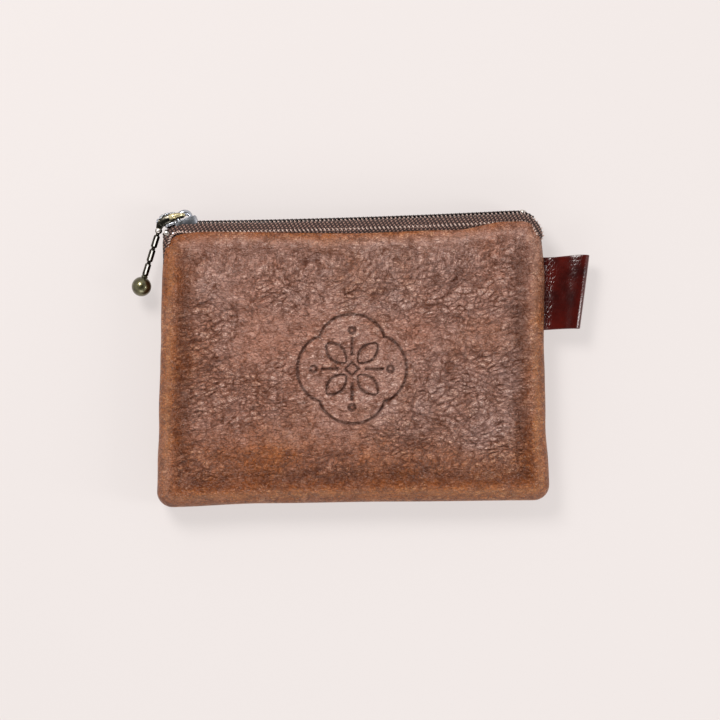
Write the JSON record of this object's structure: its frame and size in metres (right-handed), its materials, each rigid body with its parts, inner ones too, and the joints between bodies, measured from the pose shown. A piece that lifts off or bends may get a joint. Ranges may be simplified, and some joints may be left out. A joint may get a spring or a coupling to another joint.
{
  "type": "zippered pouch",
  "caption": "Small leather coin pouch with a coil zip along the top, a rod and ball zip pull, and a folded leather loop in the side seam.",
  "frame": {"origin": "middle of the flat back face that the pouch lies on", "axes": "+X to the right along the zip, +Y towards the zip, +Z out of the front leather"},
  "size_m": [0.1384, 0.0903, 0.014],
  "materials": {
    "leather_body": "waxed pull-up leather, cognac brown, pebbled grain",
    "tab_leather": "glossy oxblood leather",
    "zip_tape": "woven polyester tape, mauve brown",
    "coil_nylon": "moulded nylon filament, dark brown",
    "thread": "bonded polyester thread",
    "slider_metal": "nickel plated, lightly worn",
    "bright_metal": "nickel plated",
    "dark_metal": "gunmetal plating, polished",
    "antique_brass": "antique brass, darkened"
  },
  "bodies": {
    "pouch": {"front_panel": "leather_body", "back_panel": "leather_body", "front_zip_tape": "zip_tape", "back_zip_tape": "zip_tape", "front_coil": "coil_nylon", "back_coil": "coil_nylon", "front_top_stop": "bright_metal", "back_top_stop": "bright_metal", "bottom_stop": "bright_metal", "zip_thread_front": "thread", "zip_thread_back": "thread", "seam_thread_bottom": "thread", "seam_thread_left": "thread", "seam_thread_right": "thread"},
    "slider": {"slider_body": "slider_metal"},
    "puller": {"puller_arm": "dark_metal", "hinge_pin": "bright_metal"},
    "pull": {"pull_rod": "dark_metal", "pull_ball": "antique_brass"},
    "tab": {"side_tab": "tab_leather", "tab_thread": "thread"}
  },
  "joints": [
    {"name": "slider_travel", "type": "slide", "parent": "pouch", "child": "slider", "axis": [0.9995, 0.0323, 0], "range_m": [0, 0.097], "deforming": ["front_coil", "back_coil", "front_zip_tape", "back_zip_tape"]},
    {"name": "puller_flip", "type": "hinge", "parent": "slider", "child": "puller", "pos_m": [-0.05133, 0.04399, 0.007], "axis": [0, 0, -1], "range_deg": [0, 160]},
    {"name": "rod_swing", "type": "hinge", "parent": "puller", "child": "pull", "pos_m": [-0.05898, 0.03919, 0.007], "axis": [0, 0, -1], "range_deg": [-8, 60]},
    {"name": "tab_flex", "type": "hinge", "parent": "pouch", "child": "tab", "pos_m": [0.0584, 0.0204, 0.007], "axis": [0, 1, 0], "range_deg": [-40, 40], "deforming": ["side_tab", "tab_thread"]}
  ]
}
